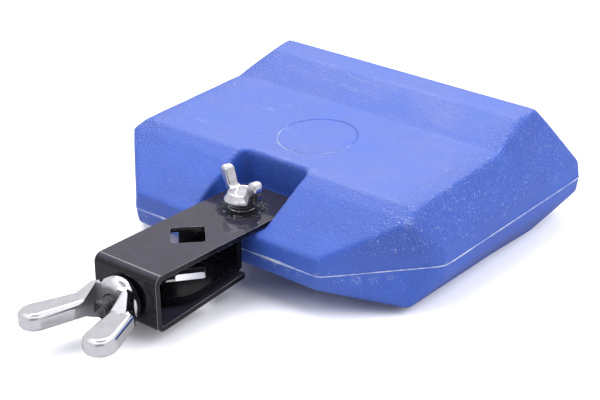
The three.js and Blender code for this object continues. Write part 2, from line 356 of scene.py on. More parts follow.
def lump(corners, wall):
    """Convex body through corners and their mirror images, set in by the wall."""
    points = []
    for x, y, z in corners:
        in_x = x - wall * SIDE_SHARE
        in_y = y if y == CREASE_Y else y + wall * math.copysign(1, DEPTH / 2 - y)
        in_z = z - wall * TOP_SHARE * math.copysign(1, z)
        points += [(in_x, in_y, in_z), (-in_x, in_y, in_z)]
    return hull("lump", points)


def half_block(side, wall=0.0):
    """One half of the block as a solid, carried past the parting plane; side is 1 for the upper one."""
    reach = -OVERLAP * side
    if side > 0:
        band, draft = BAND_TOP, UPPER_DRAFT
        front_top = [CORNER_CUT, FLAT_FRONT, FLAT_REAR]
        rear_top = [FLAT_REAR, RIDGE_FRONT, RIDGE_REAR]
    else:
        band, draft = BAND_BOTTOM, LOWER_DRAFT
        front_top = [LOW_CUT, (SOLE_X, SOLE_FRONT, BOTTOM_Z), (SOLE_X, CREASE_Y, BOTTOM_Z)]
        rear_top = [(SOLE_X, CREASE_Y, BOTTOM_Z), (SOLE_X, HEEL, BOTTOM_Z)]
    open_front, open_rear = plan(reach * (1 + wall), 0)
    rim_front, rim_rear = plan(GAP * side, 0)
    band_front, band_rear = plan(band, draft)
    front = lump([*open_front, *rim_front, *band_front, *front_top], wall)
    rear = lump([*open_rear, *rim_rear, *band_rear, *rear_top], wall)
    return combine(front, rear, "UNION")


def notch_outline(grow):
    half, back, corner = (NOTCH[key] + grow for key in ("half", "back", "corner"))
    front = -NOTCH["ahead"]
    return rounded([(-half, front, 0), (half, front, 0), (half, back, corner), (-half, back, corner)])


def rows(items, key, width, kind=float):
    """One value of every vertex or edge, as the rows of an array."""
    values = np.empty(len(items) * width, kind)
    items.foreach_get(key, values)
    return values.reshape(-1, width)


def relax(co, edges, rounds):
    """Laplacian smoothing, which rounds every edge of an even mesh."""
    count = np.bincount(edges.ravel(), minlength=len(co))[:, None]
    for _ in range(rounds):
        total = np.zeros_like(co)
        for axis in range(co.shape[1]):
            total[:, axis] = np.bincount(edges[:, 0], co[edges[:, 1], axis], len(co))
            total[:, axis] += np.bincount(edges[:, 1], co[edges[:, 0], axis], len(co))
        co = co + 0.5 * (total / count - co)
    return co


def moulded(target):
    """Even mesh with moulded, softly rounded edges. What the rounding took off a convex edge is kept
    as the attribute edge_wear, for the scuffs in the material."""
    even = target.modifiers.new("even", "REMESH")
    even.mode = "VOXEL"
    even.voxel_size = VOXEL * MM
    baked(target)
    data = target.data
    edges = rows(data.edges, "vertices", 2, int)
    before = relax(rows(data.vertices, "co", 3), edges, 1)
    after = relax(before, edges, ROUNDS)
    normals = rows(data.vertices, "normal", 3)
    worn = np.einsum("ij,ij->i", before - after, normals) / (FULL_WEAR * MM)
    worn = relax(np.clip(worn, 0, 1)[:, None], edges, 3)[:, 0]
    sag = np.array([noise.noise(Vector(p) * 28) + 0.4 * noise.noise(Vector(p) * 75) for p in after])
    after = after - normals * ((np.clip(sag, -1, 1) + 1)[:, None] * SAG * MM)
    data.vertices.foreach_set("co", after.ravel())
    wear = data.attributes.new("edge_wear", "FLOAT", "POINT")
    wear.data.foreach_set("value", worn.astype(np.float32))
    data.update()
    return target


def trim_at_seam(target, side):
    """Cuts the half off flat at the parting line and returns the outline of the cut, in order."""
    bm = opened(target)
    cut = bmesh.ops.bisect_plane(
        bm,
        geom=[*bm.verts, *bm.edges, *bm.faces],
        dist=1e-7,
        plane_co=place(0, 0, GAP * side),
        plane_no=(0, 0, side),
        clear_inner=True,
    )
    rim = [g for g in cut["geom_cut"] if isinstance(g, bmesh.types.BMEdge)]
    outline = outer_loop(rim)
    bmesh.ops.triangle_fill(bm, edges=rim, use_beauty=True, use_dissolve=False)
    bmesh.ops.recalc_face_normals(bm, faces=bm.faces)
    stored(bm, target)
    return outline


def outer_loop(rim):
    """The longest closed chain among cut edges, as points."""
    links = {}
    for edge in rim:
        for vert in edge.verts:
            links.setdefault(vert, []).append(edge.other_vert(vert))
    best, seen = [], set()
    for start in links:
        if start in seen:
            continue
        chain, here = [start], start
        seen.add(start)
        while True:
            onward = [v for v in links[here] if v not in seen]
            if not onward:
                break
            here = onward[0]
            seen.add(here)
            chain.append(here)
        if len(chain) > len(best):
            best = chain
    return [v.co.copy() for v in best]


def engrave_ring(target):
    """Refines the mesh along the ring on the flat top and presses the groove in."""
    centre = place(0, RING["y"], 0)
    radius, half = RING["radius"] * MM, RING["half"] * MM

    def away(point):
        up_slope = (point.y - centre.y) / math.cos(math.radians(TOP_TILT))
        return abs(math.hypot(point.x - centre.x, up_slope) - radius)

    def along_ring(edge):
        on_top = min(v.co.z for v in edge.verts) > top
        return on_top and away(edge.verts[0].co) < RING["refined"] * half

    bm = opened(target)
    top = place(0, 0, TOP_LEVEL).z
    for _ in range(2):
        near = [edge for edge in bm.edges if along_ring(edge)]
        bmesh.ops.subdivide_edges(bm, edges=near, cuts=1, use_grid_fill=True)
    for vert in bm.verts:
        if vert.co.z > top:
            share = away(vert.co) / half
            if share < 1:
                vert.co.z -= RING["depth"] * MM * math.cos(share * math.pi / 2) ** 0.7
            elif share < 1.8:
                vert.co.z += RING["lip"] * MM * math.sin((share - 1) / 0.8 * math.pi)
    bm.normal_update()
    return stored(bm, target)


def cut_mouth(shell, side):
    """Cuts one half of the sound slot, with a cutter that runs on past the parting plane."""
    levels = sorted((MOUTH["height"] / 2 * side, -MOUTH["past"] * side))
    low = (-MOUTH["half"], DEPTH - MOUTH["inward"], levels[0])
    high = (MOUTH["half"], DEPTH + MOUTH["outward"], levels[1])
    return carve(shell, block_box("mouth", low, high))


def upper_shell():
    """The upper half with the notch, the boss for the insert and the ring, and its cut outline."""
    shell = half_block(1)
    hollow = half_block(1, WALL)
    wall = NOTCH["wall"]
    walls = prism("walls", notch_outline(wall), NOTCH["floor"] - wall, TOP_Z + ABOVE)
    combine(walls, rod("boss", *BOSS, SCREW_SPOT), "UNION")
    carve(hollow, walls)
    carve(shell, hollow)
    carve(shell, prism("notch", notch_outline(0), NOTCH["floor"], TOP_Z + ABOVE))
    cut_mouth(shell, 1)
    carve(shell, rod("bore", *BORE, SCREW_SPOT))
    moulded(shell)
    outline = trim_at_seam(shell, 1)
    engrave_ring(shell)
    shell.name = "upper_half"
    return smooth_shade(shell, 45), outline


def lower_shell():
    shell = half_block(-1)
    carve(shell, half_block(-1, WALL))
    cut_mouth(shell, -1)
    moulded(shell)
    trim_at_seam(shell, -1)
    shell.name = "lower_half"
    return smooth_shade(shell, 45)


def parting_flash(outline):
    """The thin fin of plastic that the mould leaves along the parting line, scraped uneven."""
    low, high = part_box("upper_shell")
    root = FLASH["root"] * MM
    points = outline[::3]
    count = len(points)
    bm = bmesh.new()
    rings = []
    for i, point in enumerate(points):
        tangent = (points[(i + 2) % count] - points[i - 2]).normalized()
        out = Vector((tangent.y, -tangent.x, 0))
        if out.dot(Vector((point.x, point.y - place(0, DEPTH / 2, 0).y, 0))) < 0:
            out = -out
        ragged = noise.noise(point * 160) + 0.5 * noise.noise(point * 620)
        beside = 1.0 - min(1.0, (point.y - FRONT_Y) / (BESIDE["y"] * MM))
        beside *= 1.0 - min(1.0, max(0.0, abs(point.x) / MM - BESIDE["x"]) / BESIDE["fade"])
        swell = beside * max(0.0, 0.45 + 0.8 * noise.noise(point * 90))
        proud = (FLASH["proud"] + 0.18 * ragged) * MM
        thick = (FLASH["thick"] + 0.08 * ragged + swell) * MM
        seam = Vector((point.x, point.y, SEAM_Z))
        corners = [(-root, thick), (proud, 0.5 * thick), (proud, -0.5 * thick), (-root, -thick)]
        ring = [seam + out * a + Vector((0, 0, b)) for a, b in corners]
        ring = [(min(max(p.x, low.x), high.x), min(max(p.y, low.y), high.y), p.z) for p in ring]
        rings.append([bm.verts.new(p) for p in ring])
    for i in range(count):
        here, after = rings[i], rings[(i + 1) % count]
        for k in range(4):
            bm.faces.new((here[k], here[(k + 1) % 4], after[(k + 1) % 4], after[k]))
    bmesh.ops.recalc_face_normals(bm, faces=bm.faces)
    return smooth_shade(new_object("parting_flash", bm), 60)


# ---------------------------------------------------------------- bracket and jaw
def diamond(name, spot, low, high):
    y, side = spot
    reach = side / math.sqrt(2)
    corners = [(reach, y), (0, y + reach), (-reach, y), (0, y - reach)]
    return prism(name, rounded([(*corner, DIAMOND_CORNER) for corner in corners], 5), low, high)


def bracket():
    """The strip folded to a C, open to both sides, with its two diamond holes and two round ones."""
    top, rear, corner = PLATE["top"], PLATE["rear"], PLATE["corner"]
    inner = FOLD - STRIP
    fold_y = BRACKET_FRONT + FOLD
    low_fold = BRACKET_BOTTOM + FOLD
    foot_z = BRACKET_BOTTOM + FOOT["slope"] * (FOOT["end"] - fold_y)
    profile = [(rear + PAST, top)]
    profile += arc((fold_y, top - FOLD), FOLD, 90, 180)
    profile += arc((fold_y, low_fold), FOLD, 180, 270)
    profile += [(FOOT["end"], foot_z), (FOOT["end"], foot_z + STRIP)]
    profile += arc((fold_y, low_fold), inner, 270, 180)
    profile += arc((fold_y, top - FOLD), inner, 180, 90)
    profile += [(rear + PAST, top - STRIP)]
    strip = side_profile("bracket_strip", profile, STRIP_HALF + PAST)
    half, front, above, below = STRIP_HALF, BRACKET_FRONT - PAST, top + PAST, BRACKET_BOTTOM - PAST
    outline = [(-half, front, 0), (half, front, 0), (half, rear, corner), (-half, rear, corner)]
    combine(strip, prism("outline", rounded(outline, 10), below, above), "INTERSECT")
    carve(strip, diamond("hole", TOP_DIAMOND, 0, above))
    carve(strip, diamond("hole", LOW_DIAMOND, below, 0))
    carve(strip, rod("hole", SCREW["hole"], 0, above, SCREW_SPOT, sides=40))
    inside = BRACKET_FRONT + STRIP + 2 * PAST
    carve(strip, rod("hole", BOLT["hole"], front, inside, BOLT_SPOT, "Y", 40))
    return weighted(smooth_shade(mark_highlight_rims(soften(strip, EDGES["bracket"]))))


def jaw():
    """The loose inner plate: level with the bracket's foot, its rear end bent up to a flange."""
    thick, flange, top, front = JAW["thick"], JAW["flange"], JAW["top"], JAW["front"]
    inner = flange - thick

    def level(y):
        return JAW_LEVEL + FOOT["slope"] * (y - inner)

    corner = Vector((flange, level(inner) - thick))
    inside = Vector((inner, level(inner)))
    profile = [(front, level(front)), (front, level(front) - thick)]
    rear_foot = (inner, level(inner) - thick)
    profile += bend(rear_foot, corner, (flange, level(inner)), JAW_CORNER["outer_bend"])
    profile += [(flange, top), (inner, top)]
    profile += bend((inner, top), inside, (front, level(front)), JAW_CORNER["inner_bend"])
    plate = side_profile("jaw_plate", profile, JAW["half"])
    half, shoulder = JAW["half"], JAW["shoulder"]
    nose = half - (shoulder - front)
    nose_round, shoulder_round = JAW_CORNER["nose"], JAW_CORNER["shoulder"]
    outline = [(-nose, front, nose_round), (nose, front, nose_round), (half, shoulder, shoulder_round)]
    outline += [(half, flange + PAST, 0), (-half, flange + PAST, 0), (-half, shoulder, shoulder_round)]
    combine(plate, prism("outline", rounded(outline, 6), BRACKET_BOTTOM, PLATE["top"]), "INTERSECT")
    carve(plate, diamond("hole", JAW_DIAMOND, BRACKET_BOTTOM, -1))
    slot = BOLT["radius"] + JAW_SLOT["play"]
    end = (slot, BOLT["rear"] + JAW_SLOT["past_stud"], JAW_SLOT["top"])
    carve(plate, block_box("slot", (-slot, front - PAST, BRACKET_BOTTOM), end))
    return weighted(smooth_shade(soften(plate, EDGES["jaw"])))


def bend(start, corner, end, reach, steps=6):
    """A rounded corner of a sheet-metal profile."""
    corner = Vector(corner)
    a = corner + (Vector(start) - corner).normalized() * reach
    b = corner + (Vector(end) - corner).normalized() * reach
    shares = [k / steps for k in range(steps + 1)]
    points = [a * (1 - t) ** 2 + corner * 2 * t * (1 - t) + b * t * t for t in shares]
    return [(p.x, p.y) for p in points]


# ---------------------------------------------------------------- threads, washers, wings
def threaded(name, radius, depth, pitch, low, high, axis, centre):
    """Right-hand thread cut into a rod, with a chamfer at its far end."""
    per_turn, sides, chamfer = 10, 48, 0.7
    rings = int((high - low) / pitch * per_turn)
    closed = [ROD_TIP] * sides
    sections = [(closed, low)]
    for k in range(rings + 1):
        along = low + (high - low) * k / rings
        start = (along - low) / THREAD_START[0] + THREAD_START[1]
        ending = min(1.0, (high - along) / chamfer, start)
        ceiling = radius - chamfer * (1 - min(1.0, (high - along) / chamfer))
        radii = []
        for i in range(sides):
            phase = (along / pitch - i / sides) % 1.0
            valley = max(0.0, 1.0 - abs(phase - 0.5) / THREAD_VALLEY)
            radii.append(min(ceiling, radius - depth * ending * valley))
        sections.append((radii, along))
    sections.append((closed, high))
    way = 1 if axis == "Z" else -1
    loops = [circle(radii, way * along, centre, axis) for radii, along in sections]
    return smooth_shade(loft(name, loops), 50)


def ring_washer(name, inner, outer, low, high, rise=0.0):
    """Washer with broken edges; one that rises is cut through, as a lock washer is."""
    edge = WASHER_EDGE
    profile = [
        (inner, low + edge), (inner + edge, low), (outer - edge, low), (outer, low + edge),
        (outer, high - edge), (outer - edge, high), (inner + edge, high), (inner, high - edge),
    ]
    sides, start = 72, 205
    count, turn = (sides + 1, 350) if rise else (sides, 360)
    bm = bmesh.new()
    rings = []
    for i in range(count):
        share = i / sides
        angle = math.radians(share * turn + start)
        lift = rise * (share - 0.5)
        u, v = math.cos(angle), math.sin(angle)
        spots = [(r * u, SCREW_SPOT[1] + r * v, z + lift) for r, z in profile]
        rings.append([bm.verts.new(place(*spot)) for spot in spots])
    for i in range(sides):
        here, after = rings[i], rings[(i + 1) % count]
        for k in range(8):
            bm.faces.new((here[k], here[(k + 1) % 8], after[(k + 1) % 8], after[k]))
    if rise:
        bm.faces.new(rings[0])
        bm.faces.new(rings[-1])
    bmesh.ops.recalc_face_normals(bm, faces=bm.faces)
    return smooth_shade(new_object(name, bm), 40)


def tangent_outline(a, b, inset, steps=26):
    """Outline round two circles and their common tangents; each circle is (x, y, radius)."""
    ra, rb = a[2] - inset, b[2] - inset
    way = Vector((b[0] - a[0], b[1] - a[1]))
    base = math.atan2(way.y, way.x)
    spread = math.acos((ra - rb) / way.length)
    points = []
    for centre, radius, start, end in (
        (b, rb, base - spread, base + spread),
        (a, ra, base + spread, base - spread + 2 * math.pi),
    ):
        for k in range(steps + 1):
            angle = start + (end - start) * k / steps
            points.append((centre[0] + radius * math.cos(angle), centre[1] + radius * math.sin(angle)))
    return points


def wing(side):
    """A wing with a flat top and bottom, broad rounded shoulders and upright sides."""
    half, shoulder = NUT["half"], WING_EDGE
    root = (side * WING_ROOT[0], WING_ROOT[1], WING_ROOT[2])
    tip = (side * WING_TIP[0], WING_TIP[1], WING_TIP[2])
    loops = []
    angles = reversed(quarter())
    levels = [(-half + shoulder * (1 - math.sin(a)), shoulder * (1 - math.cos(a))) for a in angles]
    levels += [(-z, inset) for z, inset in reversed(levels)]
    for z, inset in levels:
        loops.append([(x, y, AXIS_Z - NUT["drop"] + z) for x, y in tangent_outline(root, tip, inset)])
    return loft("wing", loops)


def fairing(side):
    """Where a wing thickens towards the hub."""
    level = AXIS_Z - NUT["drop"]
    points = []
    for up in (-1, 1):
        points += [(2, -51, AXIS_Z + up * 7.4), (7.6, -51, AXIS_Z + up * 4.6)]
        points += [(4, NUT["face"], AXIS_Z + up * 7.0), (9.0, NUT["face"], AXIS_Z + up * 6.7)]
        points += [(5, -63, level + up * 2.6), (13.6, -62, level + up * 2.6)]
    return hull("fairing", [(side * x, y, z) for x, y, z in points])


def quarter(steps=7):
    """Angles from 0 to a quarter turn."""
    return [math.pi / 2 * k / steps for k in range(steps + 1)]


def turn_about(target, spot, degrees, axis):
    pivot = place(*spot)
    spin = Matrix.Translation(pivot) @ Matrix.Rotation(math.radians(degrees), 4, axis)
    target.data.transform(spin @ Matrix.Translation(-pivot))


def wing_nut():
    base = NUT["base"]
    bell = [(0.0, 0), (7.6, 0), (8.1, 0.2), (8.6, 0.7), (8.95, 1.4), (9.15, 2.2), (9.2, 3.0)]
    bell += [(9.1, 3.8), (8.8, 4.6), (8.3, 5.3), (7.6, 6.0), (6.8, 6.5), (6.0, 6.9), (0.0, 7.2)]
    nut = turned("nut_casting", [(r, base - along) for r, along in bell], BOLT_SPOT, "Y", 96)
    for side in (-1, 1):
        combine(nut, fairing(side), "UNION")
        combine(nut, wing(side), "UNION")
    half, face, front = NUT["slot"], NUT["face"], WING_TIP[1]
    slot = [(-half, face), (-half, front), (half, front), (half, face)]
    carve(nut, prism("slot", slot, AXIS_Z - CUTTER, AXIS_Z + CUTTER))
    carve(nut, rod("bore", NUT["bore"], base + 2, base - 2 * CUTTER, BOLT_SPOT, "Y", 48))
    soften(nut, EDGES["nut"], 38)
    turn_about(nut, BOLT_SPOT, NUT["turn"], "Y")
    return weighted(smooth_shade(nut, 35))


def ear(side):
    """One ear of the wing bolt, a slab with rounded edges that leans outwards."""
    low, top, half = HEAD["low"], HEAD["top"], HEAD["ear"]
    corners = [(1.0, low + 0.4, 0), (6.6, low + 0.3, 1.2), (8.4, low + 3.8, 2)]
    corners += [(12.3, low + 8.6, 1.6), (11.2, low + 11.6, 1.2), (8.2, low + 11.5, 1.2)]
    corners += [(4.6, top - 0.4, 1.5), (1.0, top - 0.9, 0)]
    outline = rounded(corners, 5)
    edge = HEAD["edge"]
    side_loops = [(half - edge + edge * math.sin(a), edge * (1 - math.cos(a))) for a in quarter(5)]
    side_loops = [(-t, inset) for t, inset in reversed(side_loops)] + side_loops
    middle = (7.4, low + 6.2)
    loops = []
    for t, inset in side_loops:
        loop = []
        for x, z in outline:
            away = Vector((x - middle[0], z - middle[1]))
            x, z = Vector(middle) + away * (1 - inset / away.length)
            loop.append((side * x, SCREW_SPOT[1] + t, z))
        loops.append(loop)
    return loft("ear", loops)


def wing_bolt():
    low, top, radius = HEAD["low"], HEAD["top"], HEAD["radius"]
    profile = [(0.0, low), (4.6, low), (5.0, low + 0.2), (5.5, low + 0.7), (radius - 0.4, low + 1.1)]
    profile += [(radius, low + 1.5), (radius + 0.05, low + 1.9), (radius - 0.15, low + 2.3)]
    profile += [(6.2, low + 2.9), (5.7, low + 3.5), (5.4, top - 0.5), (5.1, top - 0.15), (4.8, top)]
    profile += [(4.6, top - 0.02), (4.4, top - 0.12), (0.0, top - 0.12)]
    head = turned("screw_casting", profile, SCREW_SPOT, sides=96)
    for side in (-1, 1):
        combine(head, ear(side), "UNION")
    soften(head, EDGES["head"], segments=2)
    turn_about(head, SCREW_SPOT, SCREW["turn"], "Z")
    return weighted(smooth_shade(head, 35))


# ---------------------------------------------------------------- material helpers
class Nodes:
    """Short calls that add nodes to a tree and join them."""

    def __init__(self, tree):
        self.tree = tree

    def add(self, kind, **settings):
        made = self.tree.nodes.new("ShaderNode" + kind)
        for key, value in settings.items():
            setattr(made, key, value)
        return made

    def join(self, source, target):
        self.tree.links.new(source, target)

    def put(self, node, **values):
        """Constants on a node's sockets, named with _ for a space."""
        for key, value in values.items():
            node.inputs[key.replace("_", " ")].default_value = value

    def ramp(self, source, low, high, out_low=0.0, out_high=1.0):
        made = self.add("MapRange", interpolation_type="SMOOTHSTEP")
        self.put(made, From_Min=low, From_Max=high, To_Min=out_low, To_Max=out_high)
        self.join(source, made.inputs["Value"])
        return made.outputs["Result"]

    def math(self, operation, *values):
        made = self.add("Math", operation=operation)
        for socket, value in zip(made.inputs, values):
            if isinstance(value, (int, float)):
                socket.default_value = value
            else:
                self.join(value, socket)
        return made.outputs["Value"]

    def fold(self, operation, first, *others):
        """One operation on any number of values, from the left."""
        for other in others:
            first = self.math(operation, first, other)
        return first

    def times(self, *values):
        return self.fold("MULTIPLY", *values)

    def plus(self, *values):
        return self.fold("ADD", *values)

    def most(self, *values):
        return self.fold("MAXIMUM", *values)


class Look(Nodes):
    """A procedural material in the object's own coordinates."""

    def __init__(self, name):
        self.material = bpy.data.materials.new(name)
        self.material.use_nodes = True
        super().__init__(self.material.node_tree)
        self.shader = self.tree.nodes["Principled BSDF"]
        self.coords = self.add("TexCoord").outputs["Object"]

    def surface(self, colour, rough, normal=None):
        for name, source in (("Base Color", colour), ("Roughness", rough), ("Normal", normal)):
            if source is not None:
                self.join(source, self.shader.inputs[name])

    def axes(self):
        made = self.add("SeparateXYZ")
        self.join(self.coords, made.inputs[0])
        return made.outputs

    def noise(self, scale, detail=2.0, rough=0.5, stretch=None, distortion=0.0):
        made = self.add("TexNoise")
        self.put(made, Scale=scale, Detail=detail, Roughness=rough, Distortion=distortion)
        coords = self.coords
        if stretch:
            mapping = self.add("Mapping")
            self.put(mapping, Scale=stretch)
            self.join(coords, mapping.inputs["Vector"])
            coords = mapping.outputs["Vector"]
        self.join(coords, made.inputs["Vector"])
        return made.outputs["Fac"]

    def mix(self, factor, a, b):
        made = self.add("Mix", data_type="RGBA")
        colours = [s for s in made.inputs if s.type == "RGBA"]
        for socket, value in zip((made.inputs[0], *colours), (factor, a, b)):
            if isinstance(value, bpy.types.NodeSocket):
                self.join(value, socket)
            else:
                socket.default_value = value
        return [s for s in made.outputs if s.type == "RGBA"][0]

    def distance(self, coords, spot):
        made = self.add("VectorMath", operation="DISTANCE")
        self.join(coords, made.inputs[0])
        made.inputs[1].default_value = spot
        return made.outputs["Value"]

    def near(self, spot, radius):
        """1 at a drawing point, fading to 0 at that radius about it."""
        return self.ramp(self.distance(self.coords, place(*spot)), 0, radius * MM, 1.0, 0.0)

    def from_axis(self, spot):
        """Distance from the upright line through a spot."""
        flat = self.add("VectorMath", operation="MULTIPLY")
        self.join(self.coords, flat.inputs[0])
        flat.inputs[1].default_value = (1, 1, 0)
        return self.distance(flat.outputs["Vector"], (spot.x, spot.y, 0))

    def bump(self, height, distance, normal=None):
        made = self.add("Bump")
        self.put(made, Strength=1.0, Distance=distance)
        self.join(height, made.inputs["Height"])
        if normal:
            self.join(normal, made.inputs["Normal"])
        return made.outputs["Normal"]


# ---------------------------------------------------------------- materials
# Noise scales are per metre, so a scale of 1000 gives grains of about a millimetre.
BLUE_DEEP = (0.015, 0.050, 0.270, 1)
BLUE_LIGHT = (0.021, 0.065, 0.318, 1)
BLUE_STAIN = (0.004, 0.034, 0.255, 1)
# pale of the scuffs and wear, also used for the ring's painted highlight
SCUFF_AND_HIGHLIGHT_PALE = (0.36, 0.40, 0.50, 1)
FLASH_BLUE = (0.16, 0.21, 0.44, 1)
PAINT_BLACK = (0.0025, 0.0025, 0.004, 1)
# paler tone painted on level faces: a painted sheen in place of reflected light
PAINT_TOP_SHEEN = (0.031, 0.028, 0.045, 1)
PAINT_DUST = (0.16, 0.16, 0.17, 1)
PAINT_SCRAPED = (0.20, 0.195, 0.20, 1)
# pale grey of the painted highlight along the strip's rims
PAINT_EDGE_HIGHLIGHT = (0.13, 0.125, 0.14, 1)
SLOT_GREY = (0.34, 0.335, 0.36, 1)
SCUFFS = [  # worn spots: place and reach
    ((67.9, 22.9, 19.4), 4.2),
    ((74.5, 35.8, 0.5), 2.0),
    ((44.5, 0.4, 0.4), 2.0),
    ((60.1, 97.8, 31.9), 2.2),
    ((16.4, 30.6, 22.3), 3.0),
    ((73.9, 53.4, 4.1), 1.8),
    ((73.3, 74.7, 4.6), 2.6),
    ((71.5, 110.2, 5.5), 3.0),
    ((50.0, 6.5, -1.8), 2.4),
    ((54.0, 10.5, -2.2), 3.0),
    ((58.5, 15.0, -2.4), 3.2),
    ((62.5, 19.5, -2.0), 2.4),
    ((20.0, 0.3, -0.8), 2.0),
    ((25.0, 0.3, -1.2), 2.4),
    ((30.5, 0.3, -1.6), 2.2),
    ((36.0, 0.3, -2.2), 1.8),
    ((-52.0, 9.0, -1.0), 4.0),
    ((-41.0, 1.0, -2.0), 4.0),
    ((-71.5, 33.0, 9.0), 3.0),
]
FADES = {  # where a look fades in, in metres from the middle or above the parting plane
    "ends": (0.050, 0.068),
    "above_band": (0.0045, 0.0075),
    "rear_slope": (0.022, 0.025),
    "top": (0.017, 0.021),
}
RUB, HAZE, CHIPS, WISPS = 0.22, 0.60, 0.9, 0.18  # how strongly each kind of wear shows
GRAIN = {"all_over": 0.42, "ends": 1.25, "depth": 0.00036}  # depths of bumps are in metres
SWELL_DEPTH = 0.00006
DARK_RING_REACH = (0.0122, 0.0136)  # the darker ring round the screw, partly scraped paint and partly a painted dark reflection of the wing bolt, fades out between these distances, in metres
SCAR_DEPTH = 0.0004
PEEL_DEPTH = 0.000012
PAINTS = {  # share of painted sheen on level faces (a paler tone standing in for the reflection they catch), specular level, least and most roughness
    "bracket_paint": (0.75, 0.32, 0.05, 0.10),
    "jaw_paint": (0.0, 0.015, 0.12, 0.22),
}
METALS = {  # pale and dark tone, least and most roughness, scale of the stains, depth of the dents
    "hardware_chrome": ((0.59, 0.585, 0.62, 1), (0.53, 0.525, 0.56, 1), 0.04, 0.09, 260, 0.000012),
    "bolt_steel": ((0.10, 0.10, 0.105, 1), (0.05, 0.05, 0.055, 1), 0.12, 0.22, 700, 0.000006),
    "washer_steel": ((0.34, 0.34, 0.36, 1), (0.16, 0.16, 0.17, 1), 0.16, 0.30, 900, 0.00002),
    "insert_brass": ((0.72, 0.55, 0.25, 1), (0.52, 0.38, 0.16, 1), 0.22, 0.38, 600, 0.00002),
    "screw_chrome": ((0.54, 0.535, 0.575, 1), (0.45, 0.445, 0.48, 1), 0.13, 0.21, 500, 0.000008),
}


def blue_plastic():
    """Satin plastic with moulded grain, cloudy tone, pale wear, a painted highlight along the ring and
    a few scratches.
    """
    look = Look("block_plastic")
    axes = look.axes()
    height = look.math("SUBTRACT", axes["Z"], SEAM_Z)

    ends = look.ramp(look.math("ABSOLUTE", axes["X"]), *FADES["ends"])
    above = look.ramp(height, *FADES["above_band"])
    grain = look.plus(look.times(ends, GRAIN["ends"], above), GRAIN["all_over"])

    streak = look.noise(60, 5, 0.65, stretch=(0.25, 2.4, 1.0))
    tone = look.plus(look.times(look.noise(38, 4, 0.6), 0.6), look.times(streak, 0.4))
    base = look.mix(look.ramp(tone, 0.36, 0.66), BLUE_DEEP, BLUE_LIGHT)
    behind = look.ramp(axes["Y"], place(0, CREASE_Y, 0).y, place(0, CREASE_Y + 5, 0).y)
    slope = look.times(behind, look.ramp(height, *FADES["rear_slope"]))
    blotches = look.ramp(look.noise(55, 5, 0.75, stretch=(1.0, 2.0, 1.0)), 0.47, 0.60)
    blotches = look.times(blotches, look.ramp(look.noise(1100, 3, 0.7), 0.40, 0.60))
    stain = look.times(slope, blotches)
    base = look.mix(stain, base, BLUE_STAIN)

    worn = look.add("Attribute", attribute_name="edge_wear").outputs["Fac"]
    rub = look.times(worn, look.ramp(look.noise(240, 5, 0.7), 0.50, 0.66), RUB)
    specks = look.ramp(look.noise(1500, 3, 0.65), 0.60, 0.72)
    haze = look.times(specks, look.times(grain, HAZE))
    scuffed = look.most(*(look.near(spot, radius) for spot, radius in SCUFFS))
    chips = look.times(scuffed, look.ramp(look.noise(1700, 5, 0.8), 0.53, 0.62), CHIPS)
    bend = look.noise(60, 3, 0.55, stretch=(0.35, 1.9, 1.0), distortion=0.2)
    line = look.ramp(look.math("ABSOLUTE", look.math("SUBTRACT", bend, 0.5)), 0.002, 0.009, 1.0, 0.0)
    ridge = (place(0, RIDGE_FRONT[1], 0).y, place(0, RIDGE_REAR[1], 0).y)
    on_top = look.times(look.ramp(height, *FADES["top"]), look.ramp(axes["Y"], *ridge, 1.0, 0.0))
    wisps = look.times(line, look.ramp(look.noise(48, 1), 0.58, 0.68), on_top, WISPS)
    # the ring's painted highlight joins the pale wear here
    pale = look.most(rub, haze, chips, wisps, painted_ring_highlight(look, axes))

    rough = look.plus(look.times(tone, 0.5), 0.26, look.times(pale, 0.25))
    rough = look.math("SUBTRACT", rough, look.times(stain, 0.16))
    swell = look.bump(look.noise(260, 3, 0.55), SWELL_DEPTH)
    fine = look.times(look.noise(1150, 2, 0.5), grain)
    look.surface(look.mix(pale, base, SCUFF_AND_HIGHLIGHT_PALE), rough, look.bump(fine, GRAIN["depth"], swell))
    look.put(look.shader, IOR=1.5)
    return look.material


def painted_ring_highlight(look, axes):
    """Painted highlight: a pale line on the front half of the engraved ring, in place of the light its
    groove catches.
    """
    centre = place(0, RING["y"], 0)
    away = look.from_axis(centre)
    off_line = look.math("ABSOLUTE", look.math("SUBTRACT", away, RING["radius"] * MM))
    line = look.ramp(off_line, 0.2 * MM, 0.55 * MM, 1.0, 0.0)
    front = look.ramp(axes["Y"], centre.y - 4 * MM, centre.y + 5 * MM, 1.0, 0.0)
    top = look.ramp(axes["Z"], place(0, 0, TOP_LEVEL).z, place(0, 0, TOP_LEVEL + 2).z)
    return look.times(line, front, top, look.ramp(look.noise(130, 3), 0.35, 0.65, 0.2, 0.6))


def flash_plastic():
    look = Look("flash_plastic")
    ragged = look.ramp(look.noise(140, 4, 0.7), 0.40, 0.62)
    rough = look.ramp(look.noise(700, 3), 0.3, 0.7, 0.4, 0.65)
    look.surface(look.mix(ragged, FLASH_BLUE, SCUFF_AND_HIGHLIGHT_PALE), rough)
    return look.material


